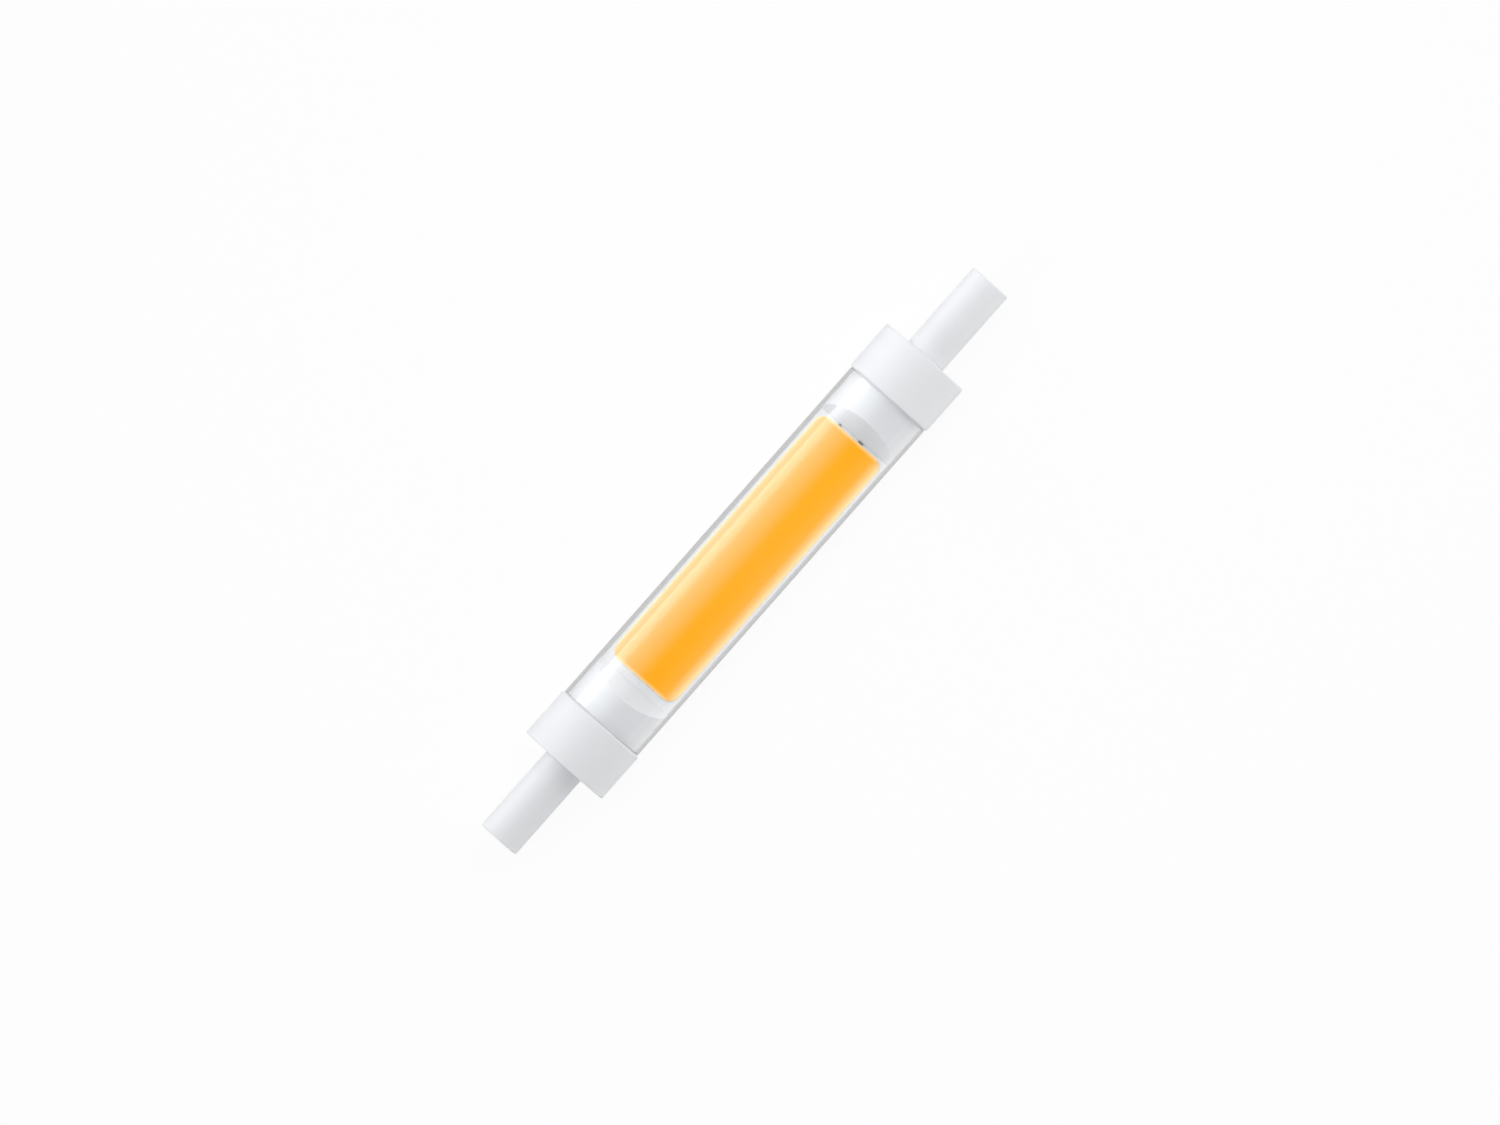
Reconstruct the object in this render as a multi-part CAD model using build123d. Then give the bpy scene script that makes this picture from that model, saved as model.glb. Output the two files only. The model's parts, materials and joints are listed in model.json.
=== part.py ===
from build123d import *
import os

# Linear LED lamp, double-ended, 118 mm long.
# A clear glass tube is closed by two white end caps, each with a pin and a recessed contact.
# Inside the tube a flat LED board with one long yellow light strip is held by two bevelled
# white plugs. The plugs hide the small driver boards that feed the LED board.
# Frame: X runs along the lamp, Z points out of the light strip, the origin is the centre.
# All sizes are in millimetres. Pieces of the +X end are modelled and mirrored to the -X end.

# Overall lengths
overall_length = 118.0
contact_depth = 1.9

# End caps: a cup and the pin on it
cap_step = 0.3
cap_length = 8.8
cap_end_wall = 1.8
cap_edge_round = 0.3
pin_diameter = 7.2
pin_length = 15.7
pin_edge_round = 0.3
recess_diameter = 4.6
recess_chamfer = 0.3
recess_step = 0.2
wire_bore = 2.4

# Contacts in the pins
contact_clearance = 0.05
contact_head = 1.5
contact_crown = 0.35
shank_clearance = 0.1
shank_length = 5.0

# Glass tube and its seals
tube_diameter = 15.4
tube_wall = 0.55
tube_edge_round = 0.12
seal_thickness = 0.25
seal_setback = 0.05

# LED board and its light strip, with the strip's margins to the plugs and the board's edges
board_thickness = 1.0
board_side_gap = 0.23
board_grip = 5.2
board_corner = 0.4
strip_left_margin = 1.4
strip_right_margin = 0.4
strip_side_margin = 0.42
strip_thickness = 0.6
strip_corner = 1.9
strip_edge_round = 0.45

# LED chips under the light strip
chip_length = 0.8
chip_width = 0.5
chip_height = 0.2
chip_column_pitch = 2.5
chip_row_pitch = 2.4
chip_margin = 1.2

# Plugs that hold the board in the tube
plug_clearance = 0.1
plug_reach = 8.1
plug_wall = 1.1
plug_nose = 6.2
plug_end_gap = 0.2
plug_edge_round = 0.3
bevel_depth = 2.9
bevel_lip = 0.25
slot_clearance = 0.05
groove_depth = 0.3

# Driver boards inside the plugs
driver_gap = 0.2
driver_end_gap = 0.5

# Strips that join each driver board to the LED board
link_thickness = 0.2
link_clearance = 0.05
link_widths = (0.5, 0.9)
link_places = (2.9, -1.4)
link_overlap = 1.2
right_link_show = 0.3
left_link_depth = 1.0

# Wires from the contacts to the driver boards
wire_diameter = 0.8
wire_socket = 3.0
wire_landing = 1.8
wire_slope = 1.8
wire_bend_radius = 3.0
wire_clearance = 0.05

# Parts on the driver boards; a side gap is counted from the lead wire
solder_gap = 0.1
package_bevel = 0.15
leg_thickness = 0.2
foot_length = 0.7
rectifier_length = 4.7
rectifier_width = 3.7
rectifier_height = 2.3
rectifier_leg_width = 0.65
rectifier_leg_pitch = 2.5
rectifier_span = 6.4
driver_chip_length = 4.9
driver_chip_width = 3.9
driver_chip_height = 1.4
driver_chip_leg_width = 0.42
driver_chip_leg_pitch = 1.27
driver_chip_span = 6.0
fuse_diameter = 2.0
fuse_length = 5.4
fuse_waist = 1.6
fuse_end_length = 1.1
fuse_taper = 0.5
fuse_round = 0.3
fuse_side_gap = 1.3
varistor_diameter = 3.4
varistor_thickness = 1.5
varistor_round = 0.4
varistor_side_gap = 0.3
capacitor_diameter = 3.0
capacitor_length = 6.0
capacitor_groove_place = 1.0
capacitor_groove_depth = 0.25
capacitor_groove_half = 0.45
capacitor_round = 0.25
capacitor_side_gap = 0.3
lead_diameter = 0.5
lead_reach = 0.7
lead_bend_radius = 0.35
resistor_length = 1.25
resistor_width = 2.0
resistor_height = 0.55
resistor_count = 3
resistor_pitch = 2.0
resistor_side_gap = 1.5

# Radii and heights, worked out from the sizes above
tube_radius = tube_diameter / 2
bore_radius = tube_radius - tube_wall
cap_radius = tube_radius + cap_step
pin_radius = pin_diameter / 2
recess_radius = recess_diameter / 2
seat_radius = recess_radius - recess_step
contact_radius = seat_radius - contact_clearance
shank_radius = wire_bore / 2 - shank_clearance
plug_radius = bore_radius - plug_clearance
hollow_radius = plug_radius - plug_wall
groove_half = hollow_radius + groove_depth
wire_radius = wire_diameter / 2
board_top = board_thickness / 2
board_half_width = (bore_radius**2 - board_top**2) ** 0.5 - board_side_gap

# Places along the lamp from its middle
half_length = overall_length / 2
crown_place = half_length - contact_depth
contact_seat = crown_place - contact_head
shank_end = contact_seat - shank_length
shoulder = half_length - pin_length
cavity_floor = shoulder - cap_end_wall
cap_face = shoulder - cap_length
tube_half = cap_face - seal_thickness
nose_tip = cap_face - plug_reach
hollow_start = nose_tip + plug_nose
plug_end = cavity_floor - plug_end_gap
board_half = nose_tip + board_grip
strip_start = strip_left_margin - nose_tip
strip_end = nose_tip - strip_right_margin
strip_centre = (strip_start + strip_end) / 2
driver_start = board_half + driver_gap
driver_end = plug_end - driver_end_gap
driver_centre = (driver_start + driver_end) / 2


def turned(corners):
    """A solid turned about the lamp's axis from corners of (place along X, radius, rounding)."""
    points = [(x, 0, radius) for x, radius, rounding in corners]
    roundings = [rounding for x, radius, rounding in corners]
    outline = FilletPolyline(*points, radius=roundings, close=True)
    return revolve(make_face(outline), axis=Axis.X)


def block(x_range, y_range, z_range):
    """A box between two places on each axis."""
    size = [high - low for low, high in (x_range, y_range, z_range)]
    middle = [(high + low) / 2 for low, high in (x_range, y_range, z_range)]
    return Pos(*middle) * Box(*size)


def profile_across(points, half_width):
    """A solid with an outline of (x, z) points, as wide as twice half_width along Y."""
    outline = make_face(Polyline(*[(x, 0, z) for x, z in points], close=True))
    return extrude(outline, half_width, dir=(0, 1, 0), both=True)


def bent_rod(points, bend_radius, diameter):
    """A round wire along straight runs joined by arcs."""
    path = FilletPolyline(*points, radius=bend_radius)
    start = Plane(origin=path @ 0, z_dir=path % 0)
    return sweep(start * Circle(diameter / 2), path=path)


def glass_tube():
    """The plain tube, with its cut ends slightly melted round."""
    return turned([
        (-tube_half, bore_radius, tube_edge_round),
        (-tube_half, tube_radius, tube_edge_round),
        (tube_half, tube_radius, tube_edge_round),
        (tube_half, bore_radius, tube_edge_round),
    ])


def seal():
    """The silicone bead between the tube's end and the cap, a little below the glass."""
    return turned([
        (tube_half, bore_radius, 0),
        (tube_half, tube_radius - seal_setback, 0),
        (cap_face, tube_radius - seal_setback, 0),
        (cap_face, bore_radius, 0),
    ])


def end_cap():
    """One stepped moulding: the cup over the plug and the pin with the contact's recess."""
    return turned([
        (cap_face, cap_radius, cap_edge_round),
        (shoulder, cap_radius, cap_edge_round),
        (shoulder, pin_radius, 0),
        (half_length, pin_radius, pin_edge_round),
        (half_length, recess_radius + recess_chamfer, 0),
        (half_length - recess_chamfer, recess_radius, 0),
        (crown_place, recess_radius, 0),
        (crown_place, seat_radius, 0),
        (contact_seat, seat_radius, 0),
        (contact_seat, wire_bore / 2, 0),
        (cavity_floor, wire_bore / 2, 0),
        (cavity_floor, bore_radius, 0),
        (cap_face, bore_radius, 0),
    ])


def contact():
    """A rivet with a domed head at the bottom of the recess and a hollow shank for the wire."""
    socket_radius = wire_radius + wire_clearance
    socket_end = shank_end + wire_socket
    rim = crown_place - contact_crown
    sides = Polyline(
        (crown_place, 0, 0),
        (socket_end, 0, 0),
        (socket_end, 0, socket_radius),
        (shank_end, 0, socket_radius),
        (shank_end, 0, shank_radius),
        (contact_seat, 0, shank_radius),
        (contact_seat, 0, contact_radius),
        (rim, 0, contact_radius),
    )
    dome = ThreePointArc((rim, 0, contact_radius), (crown_place, 0, 0), (rim, 0, -contact_radius))
    outline = make_face(sides.edges() + [dome.trim(0, 0.5)])
    return revolve(outline, axis=Axis.X)


def plug():
    """The holder in the tube's end, with a chisel nose, a slot for the LED board, grooves for
    the driver board and channels over the link strips."""
    body = turned([
        (nose_tip, 0, 0),
        (nose_tip, plug_radius, 0),
        (plug_end, plug_radius, plug_edge_round),
        (plug_end, hollow_radius, 0),
        (hollow_start, hollow_radius, 0),
        (hollow_start, 0, 0),
    ])
    slot_top = board_top + slot_clearance
    lip = slot_top + bevel_lip
    front_bevel = profile_across([
        (nose_tip, lip),
        (nose_tip + bevel_depth, plug_radius),
        (nose_tip, plug_radius),
    ], plug_radius)
    back_bevel = mirror(front_bevel, about=Plane.XY)
    board_slot = block(
        (nose_tip, board_half + slot_clearance), (-plug_radius, plug_radius), (-slot_top, slot_top)
    )
    driver_groove = block((board_half, plug_end), (-groove_half, groove_half), (-slot_top, slot_top))
    body = body - front_bevel - back_bevel - board_slot - driver_groove
    channel_top = board_top + link_thickness + link_clearance
    for place, width in zip(link_places, link_widths):
        edge = width / 2 + link_clearance
        body -= block((nose_tip, hollow_start), (place - edge, place + edge), (0, channel_top))
    return body


def led_board():
    """The white board across the tube's middle, from plug to plug."""
    outline = RectangleRounded(2 * board_half, 2 * board_half_width, board_corner)
    return extrude(Plane.XY.offset(-board_top) * outline, board_thickness)


def strip_outline():
    """The light strip's length and width."""
    return strip_end - strip_start, 2 * (board_half_width - strip_side_margin)


def led_chips():
    """Rows of bare chips on the board's front, spread evenly under the light strip."""
    length, width = strip_outline()
    columns = int((length - 2 * chip_margin) / chip_column_pitch) + 1
    rows = int((width - 2 * chip_margin) / chip_row_pitch) + 1
    chip = Box(chip_length, chip_width, chip_height)
    first = Pos(strip_centre, 0, board_top + chip_height / 2)
    return [first * place * chip for place in GridLocations(chip_column_pitch, chip_row_pitch, columns, rows)]


def light_strip(chips):
    """The cast strip of yellow silicone with rounded edges, poured over the chips."""
    outline = RectangleRounded(*strip_outline(), strip_corner)
    strip = extrude(Plane.XY.offset(board_top) * Pos(strip_centre, 0) * outline, strip_thickness)
    strip = fillet(strip.faces().sort_by(Axis.Z)[-1].edges(), strip_edge_round)
    return strip - chips


def link_strips(start):
    """Two flat metal strips across the joint of the boards, from start on the LED board."""
    strips = []
    for place, width in zip(link_places, link_widths):
        strips.append(block(
            (start, driver_start + link_overlap),
            (place - width / 2, place + width / 2),
            (board_top, board_top + link_thickness),
        ))
    return strips


def driver_board():
    """The small board in the plug's grooves, in line with the LED board."""
    half = groove_half - slot_clearance
    return block((driver_start, driver_end), (-half, half), (-board_top, board_top))


def lead_wire():
    """The wire from the contact's shank through the pin, down to the driver board's face."""
    landed = board_top + wire_radius
    bend = driver_end - wire_slope / 2 + wire_landing / 2
    points = [
        (shank_end + wire_socket - wire_clearance, 0, 0),
        (bend + wire_slope / 2, 0, 0),
        (bend - wire_slope / 2, 0, landed),
        (bend - wire_slope / 2 - wire_landing, 0, landed),
    ]
    return bent_rod(points, wire_bend_radius, wire_diameter)


def leg(body_half_width, span, height, width):
    """One flat metal leg that leaves a moulded body level, bends down and ends in a foot."""
    foot = span / 2
    knee = foot - foot_length
    points = [
        (body_half_width, height),
        (knee, height),
        (knee, leg_thickness),
        (foot, leg_thickness),
        (foot, 0),
        (knee - leg_thickness, 0),
        (knee - leg_thickness, height - leg_thickness),
        (body_half_width, height - leg_thickness),
    ]
    outline = make_face(Polyline(*[(0, y, z) for y, z in points], close=True))
    return extrude(outline, width / 2, dir=(1, 0, 0), both=True)


def legged_package(length, width, height, span, leg_width, leg_pitch, legs_a_side):
    """A moulded body with a row of legs on both long sides, standing on the plane z = 0."""
    body = Pos(0, 0, solder_gap + height / 2) * Box(length, width, height)
    body = chamfer(body.faces().sort_by(Axis.Z)[-1].edges(), package_bevel)
    leg_height = solder_gap + height / 2 + leg_thickness / 2
    one_leg = leg(width / 2, span, leg_height, leg_width)
    for place in GridLocations(leg_pitch, 0, legs_a_side, 1):
        body += place * one_leg
        body += place * mirror(one_leg, about=Plane.XZ)
    return body


def on_back(package):
    """A package turned over and stood on the driver board's back."""
    return Pos(driver_centre, 0, -board_top) * Rot(180, 0, 0) * package


def bridge_rectifier():
    """The four-legged rectifier on the back of the -X driver board."""
    return on_back(legged_package(
        rectifier_length, rectifier_width, rectifier_height,
        rectifier_span, rectifier_leg_width, rectifier_leg_pitch, 2,
    ))


def driver_chip():
    """The eight-legged current regulator on the back of the +X driver board."""
    return on_back(legged_package(
        driver_chip_length, driver_chip_width, driver_chip_height,
        driver_chip_span, driver_chip_leg_width, driver_chip_leg_pitch, 4,
    ))


def beside_wire(side_gap, width):
    """How far from the lamp's axis the middle of a part of this width lies, beside the lead wire."""
    return wire_radius + side_gap + width / 2


def lead(start, direction, place, height):
    """One wire lead that leaves a part's end at start and bends down to the board's face."""
    corner = start + direction * lead_reach
    points = [(start, place, height), (corner, place, height), (corner, place, board_top)]
    return bent_rod(points, lead_bend_radius, lead_diameter)


def fuse_resistor():
    """A barrel with two fatter ends and a wire lead at each, along the driver board."""
    low = driver_centre - fuse_length / 2
    high = driver_centre + fuse_length / 2
    ends = fuse_diameter / 2
    waist = fuse_waist / 2
    place = -beside_wire(fuse_side_gap, fuse_diameter)
    height = board_top + solder_gap + ends
    barrel = turned([
        (low, 0, 0),
        (low, ends, fuse_round),
        (low + fuse_end_length, ends, fuse_round),
        (low + fuse_end_length + fuse_taper, waist, fuse_round),
        (high - fuse_end_length - fuse_taper, waist, fuse_round),
        (high - fuse_end_length, ends, fuse_round),
        (high, ends, fuse_round),
        (high, 0, 0),
    ])
    return Pos(0, place, height) * barrel + lead(low, -1, place, height) + lead(high, 1, place, height)


def surge_varistor():
    """A flat round disc on the driver board with a lead at each side."""
    place = beside_wire(varistor_side_gap, varistor_diameter)
    height = board_top + solder_gap + varistor_thickness / 2
    disc = Pos(driver_centre, place, height) * Cylinder(varistor_diameter / 2, varistor_thickness)
    disc = fillet(disc.edges().filter_by(GeomType.CIRCLE), varistor_round)
    inside = varistor_diameter / 2 - lead_diameter
    first = lead(driver_centre - inside, -1, place, height)
    second = lead(driver_centre + inside, 1, place, height)
    return disc + first + second


def smoothing_capacitor():
    """A can with a crimped groove, lying along the driver board, with its lead bent down."""
    high = driver_end - lead_reach
    low = high - capacitor_length
    radius = capacitor_diameter / 2
    groove = low + capacitor_groove_place
    can = turned([
        (low, 0, 0),
        (low, radius, capacitor_round),
        (groove - capacitor_groove_half, radius, 0),
        (groove, radius - capacitor_groove_depth, capacitor_round),
        (groove + capacitor_groove_half, radius, 0),
        (high, radius, capacitor_round),
        (high, 0, 0),
    ])
    place = -beside_wire(capacitor_side_gap, capacitor_diameter)
    height = board_top + solder_gap + radius
    return Pos(0, place, height) * can + lead(low, -1, place, height)


def sense_resistors():
    """Small chip resistors in a row along the driver board."""
    chip = Box(resistor_length, resistor_width, resistor_height)
    first = Pos(driver_centre, beside_wire(resistor_side_gap, resistor_width), board_top + resistor_height / 2)
    return [first * place * chip for place in GridLocations(resistor_pitch, 0, resistor_count, 1)]


def mirrored(piece):
    """The same piece at the lamp's other end."""
    return mirror(piece, about=Plane.YZ)


def save(name, *pieces):
    """One STEP file for one named piece or group of like pieces."""
    solids = [solid for piece in pieces for solid in piece.solids()]
    export_step(Compound(children=solids), f"parts/{name}.step")


def save_pair(name, piece):
    """The piece at the +X end and its mirror image at the -X end."""
    save(f"right_{name}", piece)
    save(f"left_{name}", mirrored(piece))


os.makedirs("parts", exist_ok=True)

chips = led_chips()
right_links = link_strips(nose_tip - right_link_show)
left_links = link_strips(nose_tip + left_link_depth)

save("glass_tube", glass_tube())
save_pair("seal", seal())
save_pair("end_cap", end_cap())
save_pair("contact", contact())
save_pair("plug", plug())
save("led_board", led_board())
save("led_chips", *chips)
save("light_strip", light_strip(chips))
save("right_link_strips", *right_links)
save("left_link_strips", *[mirrored(strip) for strip in left_links])
save_pair("driver_board", driver_board())
save_pair("lead_wire", lead_wire())
save("bridge_rectifier", mirrored(bridge_rectifier()))
save("fuse_resistor", mirrored(fuse_resistor()))
save("surge_varistor", mirrored(surge_varistor()))
save("driver_chip", driver_chip())
save("smoothing_capacitor", smoothing_capacitor())
save("sense_resistors", *sense_resistors())
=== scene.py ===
import json
import math

import bpy
from mathutils import Matrix, Vector


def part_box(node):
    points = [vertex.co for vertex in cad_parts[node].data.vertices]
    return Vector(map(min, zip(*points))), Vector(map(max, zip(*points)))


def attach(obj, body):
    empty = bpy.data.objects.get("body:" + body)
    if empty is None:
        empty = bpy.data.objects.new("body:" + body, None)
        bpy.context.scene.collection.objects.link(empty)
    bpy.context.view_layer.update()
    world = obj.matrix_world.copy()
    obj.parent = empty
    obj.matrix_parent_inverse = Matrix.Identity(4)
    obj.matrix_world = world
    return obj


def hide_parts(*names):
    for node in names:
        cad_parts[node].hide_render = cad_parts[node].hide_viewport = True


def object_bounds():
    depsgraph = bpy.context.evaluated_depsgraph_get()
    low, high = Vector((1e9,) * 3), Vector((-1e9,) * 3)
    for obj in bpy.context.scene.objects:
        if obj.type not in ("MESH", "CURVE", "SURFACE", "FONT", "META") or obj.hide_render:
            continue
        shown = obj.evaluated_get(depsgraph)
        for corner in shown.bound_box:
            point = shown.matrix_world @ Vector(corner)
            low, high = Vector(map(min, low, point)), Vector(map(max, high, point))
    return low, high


# Linear LED lamp, lying on a pale floor and seen from straight above.
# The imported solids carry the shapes. This script gives them their finish, light and view.

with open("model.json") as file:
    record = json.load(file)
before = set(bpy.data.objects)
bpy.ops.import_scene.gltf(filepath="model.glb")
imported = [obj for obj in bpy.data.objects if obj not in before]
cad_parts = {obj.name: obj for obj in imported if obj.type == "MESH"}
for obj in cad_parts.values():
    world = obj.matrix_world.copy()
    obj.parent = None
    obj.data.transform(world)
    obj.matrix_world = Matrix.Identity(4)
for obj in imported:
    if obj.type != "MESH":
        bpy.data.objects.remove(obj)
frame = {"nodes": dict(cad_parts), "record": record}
cad_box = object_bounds()
nodes = frame["nodes"]

MM = 0.001

# The glass tube's wall and the rounding of its cut ends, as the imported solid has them,
# and how finely it is cut around and at its corners
TUBE_WALL = 0.55 * MM
TUBE_EDGE = 0.12 * MM
TUBE_FACETS = 240
CORNER_STEPS = 6

# Noise scales of the finishes, in cycles per metre, from broad unevenness to fine grain
BROAD_UNEVENNESS = 160.0
SILICONE_GRAIN = 300.0
PLAIN_GRAIN = 700.0
BOARD_GRAIN = 900.0
POLISH_MARKS = 1500.0
MOULD_GRAIN = 2500.0

# How far in from its sides and ends the light strip pales, and how fast: partly where the silicone thins
# out, partly a painted reflection at the sides and painted light over the shade at the ends
THINNING_AND_SHEEN_SIDE = 1.8 * MM
THINNING_AND_PAINTED_LIGHT_END = 0.7 * MM
THINNING_AND_SHEEN_POWER = 1.4

# The photograph's frame and the lamp's place in it, in its own pixels
FRAME_WIDTH_PX = 1500
FRAME_HEIGHT_PX = 1125
LAMP_CENTRE_PX = (744.5, 561.1)
PX_PER_MM = 6.3025
AXIS_ANGLE = math.radians(48.55)

SENSOR_WIDTH = 36.0
CAMERA_DISTANCE = 4.0

# The floor's half width in metres and its whiteness
FLOOR_HALF = 3.0
FLOOR_WHITE = 0.9

# The share and level of the glow that each kind of ray sees on the floor. What the lamp
# mirrors of it follows a profile along Y, in metres, as a polished table in a room would show.
MIRRORED_LEVEL = 3.2
MIRRORED_SPAN = (-0.12, 0.12)
MIRRORED_PROFILE = [
    (-0.12, 0.3), (-0.04, 0.5), (-0.022, 0.6), (-0.014, 0.22), (0.014, 0.22), (0.022, 0.3),
    (0.04, 0.6), (0.12, 0.92),
]
FLOOR_GLOW = {
    "Is Camera Ray": (0.93, 1.0),
    "Is Glossy Ray": (0.8, MIRRORED_LEVEL),
    "Is Transmission Ray": (0.7, 0.5),
}

# The studio's light by direction. The ends' profile follows the direction's X part and the
# window's its Y part. The window fades out over a span of the X part's size.
DIRECTION_SPAN = (-1.0, 1.0)
ENDS_TINT = (0.985, 1.0, 1.025)
ENDS_PROFILE = [(-1.0, 1.25), (-0.4, 0.06), (0.4, 0.06), (1.0, 1.1)]
WINDOW_LEVEL = 4.0
WINDOW_TINT = (0.98, 0.995, 1.025)
WINDOW_SPAN = (0.1, 0.25)
WINDOW_PROFILE = [
    (-1.0, 0.22), (-0.97, 0.11), (-0.92, 0.08), (-0.85, 0.06), (-0.75, 0.035), (-0.5, 0.005),
    (-0.2, 0.01), (0.0, 0.075), (0.3, 0.245), (0.6, 0.4), (0.8, 0.56), (0.9, 0.88), (0.96, 1.06),
]

WHITE = (1.0, 1.0, 1.0)


# Node building

def new_material(name):
    """A node material, with its tree and its one Principled shader."""
    material = bpy.data.materials.new(name)
    material.use_nodes = True
    tree = material.node_tree
    return material, tree, tree.nodes["Principled BSDF"]


def set_shader(shader, **values):
    """Sets plain values on a shader's sockets; an underscore stands for a space in a name."""
    for name, value in values.items():
        shader.inputs[name.replace("_", " ")].default_value = value


def feed(tree, socket, value):
    """Links a socket to another one, or sets a plain value on it."""
    if isinstance(value, bpy.types.NodeSocket):
        tree.links.new(value, socket)
    else:
        socket.default_value = value


def place_parts(tree, kind="Object"):
    """The X, Y and Z sockets of a texture coordinate of one kind."""
    place = tree.nodes.new("ShaderNodeTexCoord")
    split = tree.nodes.new("ShaderNodeSeparateXYZ")
    tree.links.new(place.outputs[kind], split.inputs["Vector"])
    return split.outputs


def object_noise(tree, scale):
    """The value of a noise texture fixed to the piece, in object coordinates."""
    place = tree.nodes.new("ShaderNodeTexCoord")
    noise = tree.nodes.new("ShaderNodeTexNoise")
    noise.inputs["Scale"].default_value = scale
    noise.inputs["Detail"].default_value = 3.0
    tree.links.new(place.outputs["Object"], noise.inputs["Vector"])
    return noise.outputs["Fac"]


def arithmetic(tree, operation, *values):
    """The result of a math node on sockets or plain numbers."""
    node = tree.nodes.new("ShaderNodeMath")
    node.operation = operation
    for socket, value in zip(node.inputs, values):
        feed(tree, socket, value)
    return node.outputs["Value"]


def ramp_between(tree, factor, low, high, from_min=0.0, from_max=1.0):
    """A value from low to high as factor goes from from_min to from_max."""
    node = tree.nodes.new("ShaderNodeMapRange")
    node.inputs["From Min"].default_value = from_min
    node.inputs["From Max"].default_value = from_max
    node.inputs["To Min"].default_value = low
    node.inputs["To Max"].default_value = high
    tree.links.new(factor, node.inputs["Value"])
    return node.outputs["Result"]


def profile_ramp(tree, value, profile, low, high, tint=WHITE):
    """A colour that follows a profile of (value, level) pairs between low and high."""
    node = tree.nodes.new("ShaderNodeValToRGB")
    node.color_ramp.interpolation = "LINEAR"
    stops = node.color_ramp.elements
    while len(stops) < len(profile):
        stops.new(0.5)
    for stop, (place, level) in zip(stops, profile):
        stop.position = (place - low) / (high - low)
        stop.color = (*[level * part for part in tint], 1.0)
    tree.links.new(ramp_between(tree, value, 0.0, 1.0, low, high), node.inputs["Fac"])
    return node.outputs["Color"]


def colour_between(tree, factor, low, high):
    """A colour from low to high, sockets or RGBA values, as factor goes from 0 to 1."""
    node = tree.nodes.new("ShaderNodeMix")
    node.data_type = "RGBA"
    feed(tree, node.inputs["A"], low)
    feed(tree, node.inputs["B"], high)
    tree.links.new(factor, node.inputs["Factor"])
    return node.outputs["Result"]


def rgba(colour):
    """Three colour values with full opacity."""
    return (*colour, 1.0)


def add_bump(tree, shader, height, strength, distance):
    """A bump on the shader from a height value, distance in metres."""
    bump = tree.nodes.new("ShaderNodeBump")
    bump.inputs["Strength"].default_value = strength
    bump.inputs["Distance"].default_value = distance
    tree.links.new(height, bump.inputs["Height"])
    tree.links.new(bump.outputs["Normal"], shader.inputs["Normal"])


def uneven_roughness(tree, shader, noise, low, high):
    """Lets a shader's roughness follow a noise value."""
    tree.links.new(ramp_between(tree, noise, low, high), shader.inputs["Roughness"])


def mixed_surface(tree, surface, other, share):
    """A surface that is the other one for a share, a socket that goes from 0 to 1."""
    mix = tree.nodes.new("ShaderNodeMixShader")
    tree.links.new(share, mix.inputs["Fac"])
    tree.links.new(surface, mix.inputs[1])
    tree.links.new(other, mix.inputs[2])
    return mix.outputs["Shader"]


def swap_for_rays(tree, shader, other, *rays):
    """Shows some kinds of ray another shader on the same surface."""
    path = tree.nodes.new("ShaderNodeLightPath")
    surface = shader.outputs["BSDF"]
    for ray in rays:
        surface = mixed_surface(tree, surface, other.outputs["BSDF"], path.outputs[ray])
    tree.links.new(surface, tree.nodes["Material Output"].inputs["Surface"])


# Finishes

def moulded_white(name, base, roughness, gloss):
    """White moulded plastic with a faint spark-eroded grain and slightly uneven gloss."""
    material, tree, shader = new_material(name)
    fine = object_noise(tree, MOULD_GRAIN)
    broad = object_noise(tree, BROAD_UNEVENNESS)
    darker = [part * 0.985 for part in base]
    tone = colour_between(tree, broad, rgba(darker), rgba(base))
    tree.links.new(tone, shader.inputs["Base Color"])
    uneven_roughness(tree, shader, fine, roughness - 0.04, roughness + 0.04)
    set_shader(shader, Subsurface_Weight=0.15, Subsurface_Scale=0.8 * MM, Specular_IOR_Level=gloss)
    set_shader(shader, Subsurface_Radius=WHITE)
    add_bump(tree, shader, fine, strength=0.12, distance=0.03 * MM)
    return material


def clear_glass():
    """Clear tube glass that bends what is seen and lets the lamps' light and soft bounces through."""
    material, tree, shader = new_material("clear_glass")
    set_shader(shader, Base_Color=rgba((0.985, 0.99, 0.99)), Roughness=0.0, IOR=1.5, Transmission_Weight=1.0)
    clear = tree.nodes.new("ShaderNodeBsdfTransparent")
    swap_for_rays(tree, shader, clear, "Is Shadow Ray", "Is Diffuse Ray")
    return material


def board_white():
    """The LED board's matt white face, with a faint glow that is painted light against the shade near the
    plugs.
    """
    material, tree, shader = new_material("board_white")
    noise = object_noise(tree, BOARD_GRAIN)
    tone = colour_between(tree, noise, rgba((0.85, 0.86, 0.865)), rgba((0.88, 0.885, 0.89)))
    tree.links.new(tone, shader.inputs["Base Color"])
    # Painted light: a faint white glow brightens the whole board against the shade near the plugs
    set_shader(shader, Roughness=0.45, IOR=1.5, Emission_Color=rgba(WHITE), Emission_Strength=0.04)
    add_bump(tree, shader, noise, strength=0.1, distance=0.02 * MM)
    material.cycles.emission_sampling = "NONE"
    return material


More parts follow.
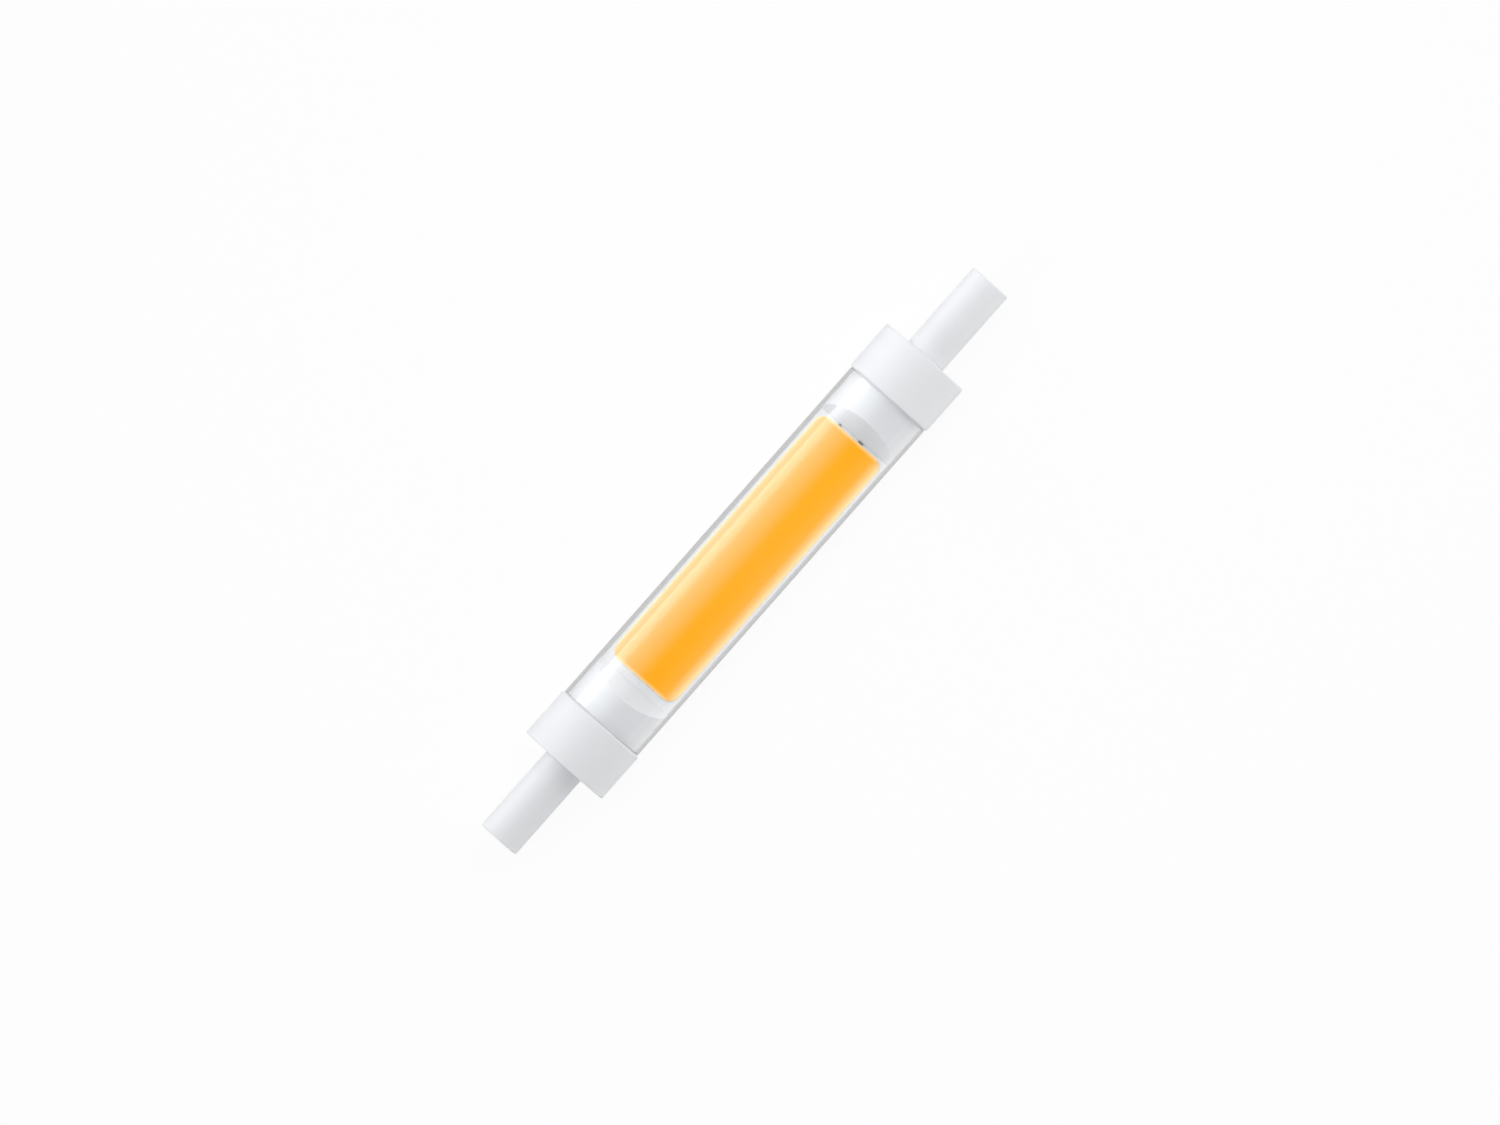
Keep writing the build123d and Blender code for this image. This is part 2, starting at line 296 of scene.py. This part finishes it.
def light_silicone():
    """The cast yellow-orange strip: deepest near its ends and paler in the middle, which is a painted
    reflection. It is paler at its sides, partly where it thins out and partly a painted reflection, and
    paler at its ends as painted light over the shade there. It glows a little though the lamp is unlit, more
    near its ends: a painted glow.
    Soft bounces see a neutral grey, so the strip doesn't tint the white pieces beside it."""
    material, tree, shader = new_material("light_silicone")
    parts = place_parts(tree)
    lo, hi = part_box("light_strip")
    middle = (lo[0] + hi[0]) / 2
    half_length = (hi[0] - lo[0]) / 2
    half_width = (hi[1] - lo[1]) / 2
    along = arithmetic(tree, "ABSOLUTE", arithmetic(tree, "SUBTRACT", parts["X"], middle))
    across = arithmetic(tree, "ABSOLUTE", parts["Y"])

    # Painted light: this mask makes the strip paler in the middle, a painted reflection, and makes its glow
    # stronger at the ends, painted light over the plugs' shade
    painted_light_inward = ramp_between(tree, along, 1.0, 0.0, 0.0, half_length)
    tone_with_painted_sheen = colour_between(tree, painted_light_inward, rgba((0.99, 0.395, 0.0)), rgba((0.99, 0.43, 0.012)))
    # Paler at the sides and ends: partly the silicone thinning out, partly a painted reflection at the sides
    # and painted light over the shade at the ends
    side = ramp_between(tree, across, 0.0, 1.0, half_width - THINNING_AND_SHEEN_SIDE, half_width)
    end = ramp_between(tree, along, 0.0, 1.0, half_length - THINNING_AND_PAINTED_LIGHT_END, half_length)
    thinning_and_painted_light = arithmetic(tree, "POWER", arithmetic(tree, "MAXIMUM", side, end), THINNING_AND_SHEEN_POWER)
    colour = colour_between(tree, thinning_and_painted_light, tone_with_painted_sheen, rgba((1.0, 0.80, 0.42)))
    tree.links.new(colour, shader.inputs["Base Color"])
    # Painted glow: the unlit strip is given a glow, stronger towards its ends
    glow = colour_between(tree, painted_light_inward, rgba((0.28, 0.1, 0.0)), rgba((0.2, 0.075, 0.0)))
    tree.links.new(glow, shader.inputs["Emission Color"])
    set_shader(shader, Roughness=0.4, IOR=1.42, Emission_Strength=1.0)
    add_bump(tree, shader, object_noise(tree, SILICONE_GRAIN), strength=0.1, distance=0.05 * MM)

    bounce = tree.nodes.new("ShaderNodeBsdfDiffuse")
    bounce.inputs["Color"].default_value = rgba((0.57, 0.6, 0.63))
    swap_for_rays(tree, shader, bounce, "Is Diffuse Ray")
    material.cycles.emission_sampling = "NONE"
    return material


def bright_metal(name, colour, roughness):
    """Plated metal with fine uneven polish."""
    material, tree, shader = new_material(name)
    set_shader(shader, Base_Color=rgba(colour), Metallic=1.0)
    noise = object_noise(tree, POLISH_MARKS)
    uneven_roughness(tree, shader, noise, roughness * 0.7, roughness * 1.3)
    return material


def plain_stuff(name, low, high, roughness):
    """A material that varies a little between two tones, for seals, boards and small parts."""
    material, tree, shader = new_material(name)
    noise = object_noise(tree, PLAIN_GRAIN)
    tone = colour_between(tree, noise, rgba(low), rgba(high))
    tree.links.new(tone, shader.inputs["Base Color"])
    uneven_roughness(tree, shader, noise, roughness - 0.05, roughness + 0.05)
    add_bump(tree, shader, noise, strength=0.15, distance=0.03 * MM)
    return material


FINISHES = {
    "tube_glass": clear_glass(),
    "cap_plastic": moulded_white("cap_white", (0.82, 0.827, 0.837), roughness=0.4, gloss=0.35),
    "plug_plastic": moulded_white("plug_white", (0.825, 0.833, 0.846), roughness=0.6, gloss=0.2),
    "board_white": board_white(),
    "light_silicone": light_silicone(),
    "chip_crystal": plain_stuff("chip_crystal", (0.45, 0.55, 0.65), (0.55, 0.65, 0.75), 0.2),
    "nickel": bright_metal("nickel", (0.78, 0.76, 0.72), 0.25),
    # Tinned metal's own grey, darkened as painted shade so the link strips' ends show as the dark shade in
    # the plug's notches
    "tinned_metal": bright_metal("tinned_metal", (0.45, 0.47, 0.46), 0.4),
    "seal_silicone": plain_stuff("seal_silicone", (0.62, 0.62, 0.64), (0.68, 0.68, 0.70), 0.5),
    "driver_board_resin": plain_stuff("driver_board_resin", (0.02, 0.13, 0.05), (0.03, 0.17, 0.07), 0.35),
    "package_black": plain_stuff("package_black", (0.012, 0.012, 0.013), (0.02, 0.02, 0.02), 0.5),
    "fuse_body": plain_stuff("fuse_body", (0.12, 0.24, 0.17), (0.16, 0.29, 0.2), 0.4),
    "varistor_body": plain_stuff("varistor_body", (0.01, 0.04, 0.22), (0.015, 0.05, 0.28), 0.4),
    "capacitor_sleeve": bright_metal("capacitor_sleeve", (0.8, 0.8, 0.82), 0.3),
}


# The lamp's pieces

def turned_mesh(name, outline, steps):
    """A closed smooth mesh turned about X from an outline of (place along X, radius)."""
    mesh = bpy.data.meshes.new(name)
    points = []
    faces = []
    count = len(outline)
    for step in range(steps):
        angle = 2 * math.pi * step / steps
        points += [(x, r * math.cos(angle), r * math.sin(angle)) for x, r in outline]
        here = step * count
        there = (step + 1) % steps * count
        for i in range(count):
            j = (i + 1) % count
            faces.append((here + i, there + i, there + j, here + j))
    mesh.from_pydata(points, [], faces)
    mesh.shade_smooth()
    return mesh


def rounded_corner(x, r, radius, first_angle):
    """Points of a rounded outline corner about the centre (x, r), clockwise from first_angle in
    degrees, with one more close by on each straight side, which keeps that side's shading straight."""
    turns = [math.radians(first_angle - 90 * i / CORNER_STEPS) for i in range(CORNER_STEPS + 1)]
    arc = [(x + radius * math.cos(t), r + radius * math.sin(t)) for t in turns]
    first, last = turns[0], turns[-1]
    before = (arc[0][0] - radius * math.sin(first) / 2, arc[0][1] + radius * math.cos(first) / 2)
    after = (arc[-1][0] + radius * math.sin(last) / 2, arc[-1][1] - radius * math.cos(last) / 2)
    return [before, *arc, after]


def fine_glass_tube():
    """The glass tube again with many more facets, because clear glass shows every one."""
    lo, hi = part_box("glass_tube")
    outer = hi[1]
    inner = outer - TUBE_WALL
    end = hi[0] - TUBE_EDGE
    near, far = outer - TUBE_EDGE, inner + TUBE_EDGE
    corners = [(end, near, 90), (end, far, 0), (-end, far, -90), (-end, near, -180)]
    outline = []
    for x, r, first_angle in corners:
        outline += rounded_corner(x, r, TUBE_EDGE, first_angle)
    mesh = turned_mesh("clear_tube", outline, TUBE_FACETS)
    mesh.materials.append(FINISHES["tube_glass"])
    tube = bpy.data.objects.new("clear_tube", mesh)
    bpy.context.scene.collection.objects.link(tube)
    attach(tube, "root")
    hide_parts("glass_tube")


def dress_nodes():
    """Gives each CAD node the finish of its material slot."""
    for entry in frame["record"]["subparts"]:
        piece = nodes[entry["node"]]
        piece.data.materials.clear()
        piece.data.materials.append(FINISHES[entry["material_slot"]])


# Stage, light and view

def pale_floor(height):
    """A wide white floor that shows the lamp's soft shadow."""
    material, tree, shader = new_material("floor_white")
    set_shader(shader, Base_Color=rgba([FLOOR_WHITE] * 3), Roughness=1.0, Specular_IOR_Level=0.0)
    mirrored = profile_ramp(tree, place_parts(tree)["Y"], MIRRORED_PROFILE, *MIRRORED_SPAN)
    path = tree.nodes.new("ShaderNodeLightPath")
    surface = shader.outputs["BSDF"]
    for ray, (share, level) in FLOOR_GLOW.items():
        glow = tree.nodes.new("ShaderNodeEmission")
        if ray == "Is Glossy Ray":
            level = arithmetic(tree, "MULTIPLY", mirrored, level)
        feed(tree, glow.inputs["Strength"], level)
        seen = arithmetic(tree, "MULTIPLY", path.outputs[ray], share)
        surface = mixed_surface(tree, surface, glow.outputs["Emission"], seen)
    tree.links.new(surface, tree.nodes["Material Output"].inputs["Surface"])

    turns = ((-1, -1), (1, -1), (1, 1), (-1, 1))
    corners = [(x * FLOOR_HALF, y * FLOOR_HALF, height) for x, y in turns]
    mesh = bpy.data.meshes.new("floor")
    mesh.from_pydata(corners, [], [(0, 1, 2, 3)])
    mesh.materials.append(material)
    floor = bpy.data.objects.new("floor", mesh)
    bpy.context.scene.collection.objects.link(floor)


def soft_light(name, place, size, power):
    """An area lamp at a place in metres, turned to the lamp's middle and not mirrored by it."""
    data = bpy.data.lights.new(name, "AREA")
    data.shape = "RECTANGLE"
    data.size, data.size_y = size
    data.energy = power
    light = bpy.data.objects.new(name, data)
    light.location = place
    light.rotation_mode = "QUATERNION"
    light.rotation_quaternion = (-Vector(place)).to_track_quat("-Z", "Y")
    light.visible_camera = False
    light.visible_glossy = False
    light.visible_transmission = False
    bpy.context.scene.collection.objects.link(light)


def studio():
    """The room's light by direction: soft walls at the lamp's two ends and one bright window
    band on the +Y side, strongest near the floor. What is behind the lamp is plain white."""
    world = bpy.data.worlds.new("studio")
    world.use_nodes = True
    tree = world.node_tree
    parts = place_parts(tree, "Generated")
    ends = profile_ramp(tree, parts["X"], ENDS_PROFILE, *DIRECTION_SPAN, ENDS_TINT)
    aside = arithmetic(tree, "ABSOLUTE", parts["X"])
    narrow = ramp_between(tree, aside, WINDOW_LEVEL, 0.0, *WINDOW_SPAN)
    window = profile_ramp(tree, parts["Y"], WINDOW_PROFILE, *DIRECTION_SPAN, WINDOW_TINT)
    light = tree.nodes.new("ShaderNodeVectorMath")
    light.operation = "MULTIPLY_ADD"
    for socket, value in zip(light.inputs, (window, narrow, ends)):
        tree.links.new(value, socket)

    path = tree.nodes.new("ShaderNodeLightPath")
    seen = colour_between(tree, path.outputs["Is Camera Ray"], light.outputs["Vector"], rgba(WHITE))
    tree.links.new(seen, tree.nodes["Background"].inputs["Color"])
    bpy.context.scene.world = world


def overhead_camera():
    """A long lens straight above the lamp, rolled as in the photograph."""
    frame_width = FRAME_WIDTH_PX / PX_PER_MM * MM
    data = bpy.data.cameras.new("camera")
    data.sensor_width = SENSOR_WIDTH
    data.lens = SENSOR_WIDTH * CAMERA_DISTANCE / frame_width
    data.clip_start = 0.1
    data.clip_end = 20.0
    camera = bpy.data.objects.new("camera", data)
    across = (LAMP_CENTRE_PX[0] - FRAME_WIDTH_PX / 2) / PX_PER_MM * MM
    down = (LAMP_CENTRE_PX[1] - FRAME_HEIGHT_PX / 2) / PX_PER_MM * MM
    roll = Matrix.Rotation(-AXIS_ANGLE, 4, "Z")
    camera.matrix_world = roll @ Matrix.Translation((-across, down, CAMERA_DISTANCE))
    bpy.context.scene.collection.objects.link(camera)
    bpy.context.scene.camera = camera


dress_nodes()
fine_glass_tube()
pale_floor(cad_box[0][2])
studio()
soft_light("near_right_end", place=(0.075, 0.0, 0.22), size=(0.1, 0.12), power=0.105)
soft_light("low_fill", place=(0.18, -0.4, 0.02), size=(1.2, 0.05), power=1.1)
soft_light("high_fill", place=(0.0, 0.17, 0.47), size=(1.6, 0.2), power=1.5)
overhead_camera()
bpy.context.scene.view_settings.view_transform = "Standard"
